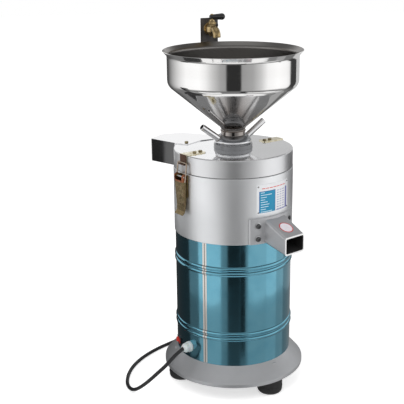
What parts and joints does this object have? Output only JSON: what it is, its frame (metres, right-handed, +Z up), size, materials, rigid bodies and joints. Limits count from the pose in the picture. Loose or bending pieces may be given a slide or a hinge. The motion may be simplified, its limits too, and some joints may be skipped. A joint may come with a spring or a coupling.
{
  "type": "soybean grinder",
  "caption": "Upright soybean grinder: motor drum on a flared base, latched grinding head with slurry spout and dregs chute, hopper with water tap.",
  "frame": {"origin": "on the floor, on the upright axis of the drum, at the centre of the three feet", "axes": "+Z up along the motor shaft, -Y is the front, out of the slurry spout"},
  "size_m": [0.4094, 0.387, 0.7583],
  "materials": {
    "cast_silver": "silver painted casting, satin",
    "cast_grey": "grey painted casting",
    "raw_casting": "as cast",
    "drum_film": "blue-green film on stainless sheet, glossy",
    "stainless": "polished stainless sheet",
    "chrome": "bright chrome",
    "turned_steel": "turned steel",
    "laminations": "stacked sheet steel",
    "enamel_wire": "varnished copper windings",
    "fan_moulding": "black moulding",
    "capacitor_can": "drawn can",
    "seal_rubber": "black rubber",
    "foot_rubber": "black rubber",
    "grindstone": "bonded grit",
    "latch_plating": "yellow zinc plated steel",
    "brass": "worn brass",
    "lever_moulding": "black moulding",
    "gland_moulding": "pale grey nylon",
    "switch_moulding": "black moulding",
    "rocker_moulding": "red moulding",
    "plate_print": "bare white plate with plain blue fields",
    "cord_jacket": "black flexible jacket"
  },
  "bodies": {
    "machine": {"base_casting": "cast_grey", "rubber_feet": "foot_rubber", "foot_bolts": "turned_steel", "drum_shell": "drum_film", "upper_end_shield": "raw_casting", "lower_end_shield": "raw_casting", "motor_tie_bolts": "turned_steel", "stator_core": "laminations", "stator_windings": "enamel_wire", "bearings": "turned_steel", "run_capacitor": "capacitor_can", "capacitor_clip": "turned_steel", "grinding_housing": "cast_silver", "housing_bolts": "turned_steel", "shaft_seal": "seal_rubber", "slurry_spout": "cast_grey", "spout_screws": "turned_steel", "rating_plate": "plate_print", "plate_rivets": "turned_steel", "lid_gasket": "seal_rubber", "lid": "cast_silver", "guide_pin": "turned_steel", "dregs_chute": "stainless", "chute_screws": "turned_steel", "latch_keeper_left": "latch_plating", "latch_keeper_right": "latch_plating", "latch_base_left": "latch_plating", "latch_base_right": "latch_plating", "latch_pins": "turned_steel", "keeper_screws": "latch_plating", "latch_rivets": "turned_steel", "cable_gland": "gland_moulding", "gland_nut": "gland_moulding", "switch_body": "switch_moulding", "power_cord": "cord_jacket", "cord_coil": "cord_jacket", "power_plug": "cord_jacket"},
    "rotor": {"motor_shaft": "turned_steel", "rotor_core": "laminations", "cooling_fan": "fan_moulding", "lower_stone": "grindstone", "stone_holder": "raw_casting", "shaft_nut": "turned_steel", "basket_frame": "stainless", "screen": "stainless"},
    "carriage": {"stone_carriage": "raw_casting", "upper_stone": "grindstone"},
    "adjuster": {"adjuster_ring": "stainless", "adjuster_handles": "chrome"},
    "hopper_set": {"hopper": "stainless", "tap_bracket": "stainless", "tap_body": "brass", "tap_nut": "brass"},
    "tap_handle": {"tap_stem": "brass", "tap_lever": "lever_moulding"},
    "left_lever": {"latch_lever_left": "latch_plating"},
    "left_bail": {"latch_bail_left": "latch_plating"},
    "right_lever": {"latch_lever_right": "latch_plating"},
    "right_bail": {"latch_bail_right": "latch_plating"},
    "rocker": {"switch_rocker": "rocker_moulding"}
  },
  "joints": [
    {"name": "rotor_spin", "type": "hinge", "parent": "machine", "child": "rotor", "pos_m": [0, 0, 0.3], "axis": [0, 0, 1], "continuous": true},
    {"name": "adjuster_turn", "type": "hinge", "parent": "machine", "child": "adjuster", "pos_m": [0, 0, 0.5115], "axis": [0, 0, 1], "range_deg": [-270, 0]},
    {"name": "carriage_lift", "type": "slide", "parent": "machine", "child": "carriage", "axis": [0, 0, 1], "range_m": [0, 0.0015]},
    {"name": "hopper_lift", "type": "slide", "parent": "carriage", "child": "hopper_set", "axis": [0, 0, 1], "range_m": [0, 0.06]},
    {"name": "tap_turn", "type": "hinge", "parent": "hopper_set", "child": "tap_handle", "pos_m": [0.04359, 0.11475, 0.7265], "axis": [0, 0, 1], "range_deg": [-90, 0]},
    {"name": "left_latch_open", "type": "hinge", "parent": "machine", "child": "left_lever", "pos_m": [-0.1298, 0.01022, 0.462], "axis": [0.0785, 0.9969, 0], "range_deg": [0, 160]},
    {"name": "left_bail_swing", "type": "hinge", "parent": "left_lever", "child": "left_bail", "pos_m": [-0.1288, 0.01014, 0.45205], "axis": [0.0785, 0.9969, 0], "range_deg": [-160.5, 0.5]},
    {"name": "right_latch_open", "type": "hinge", "parent": "machine", "child": "right_lever", "pos_m": [0.1298, -0.01022, 0.462], "axis": [-0.0785, -0.9969, 0], "range_deg": [0, 160]},
    {"name": "right_bail_swing", "type": "hinge", "parent": "right_lever", "child": "right_bail", "pos_m": [0.1288, -0.01014, 0.45205], "axis": [-0.0785, -0.9969, 0], "range_deg": [-160.5, 0.5]},
    {"name": "rocker_press", "type": "hinge", "parent": "machine", "child": "rocker", "pos_m": [-0.11052, 0.04465, 0.094], "axis": [0, 0, 1], "range_deg": [-20, 0]}
  ],
  "couplings": [
    {"joint": "adjuster_turn", "follows": "carriage_lift", "rad_per_m": -3141.6},
    {"joint": "left_bail_swing", "follows": "left_latch_open", "ratio": -1},
    {"joint": "right_bail_swing", "follows": "right_latch_open", "ratio": -1}
  ]
}
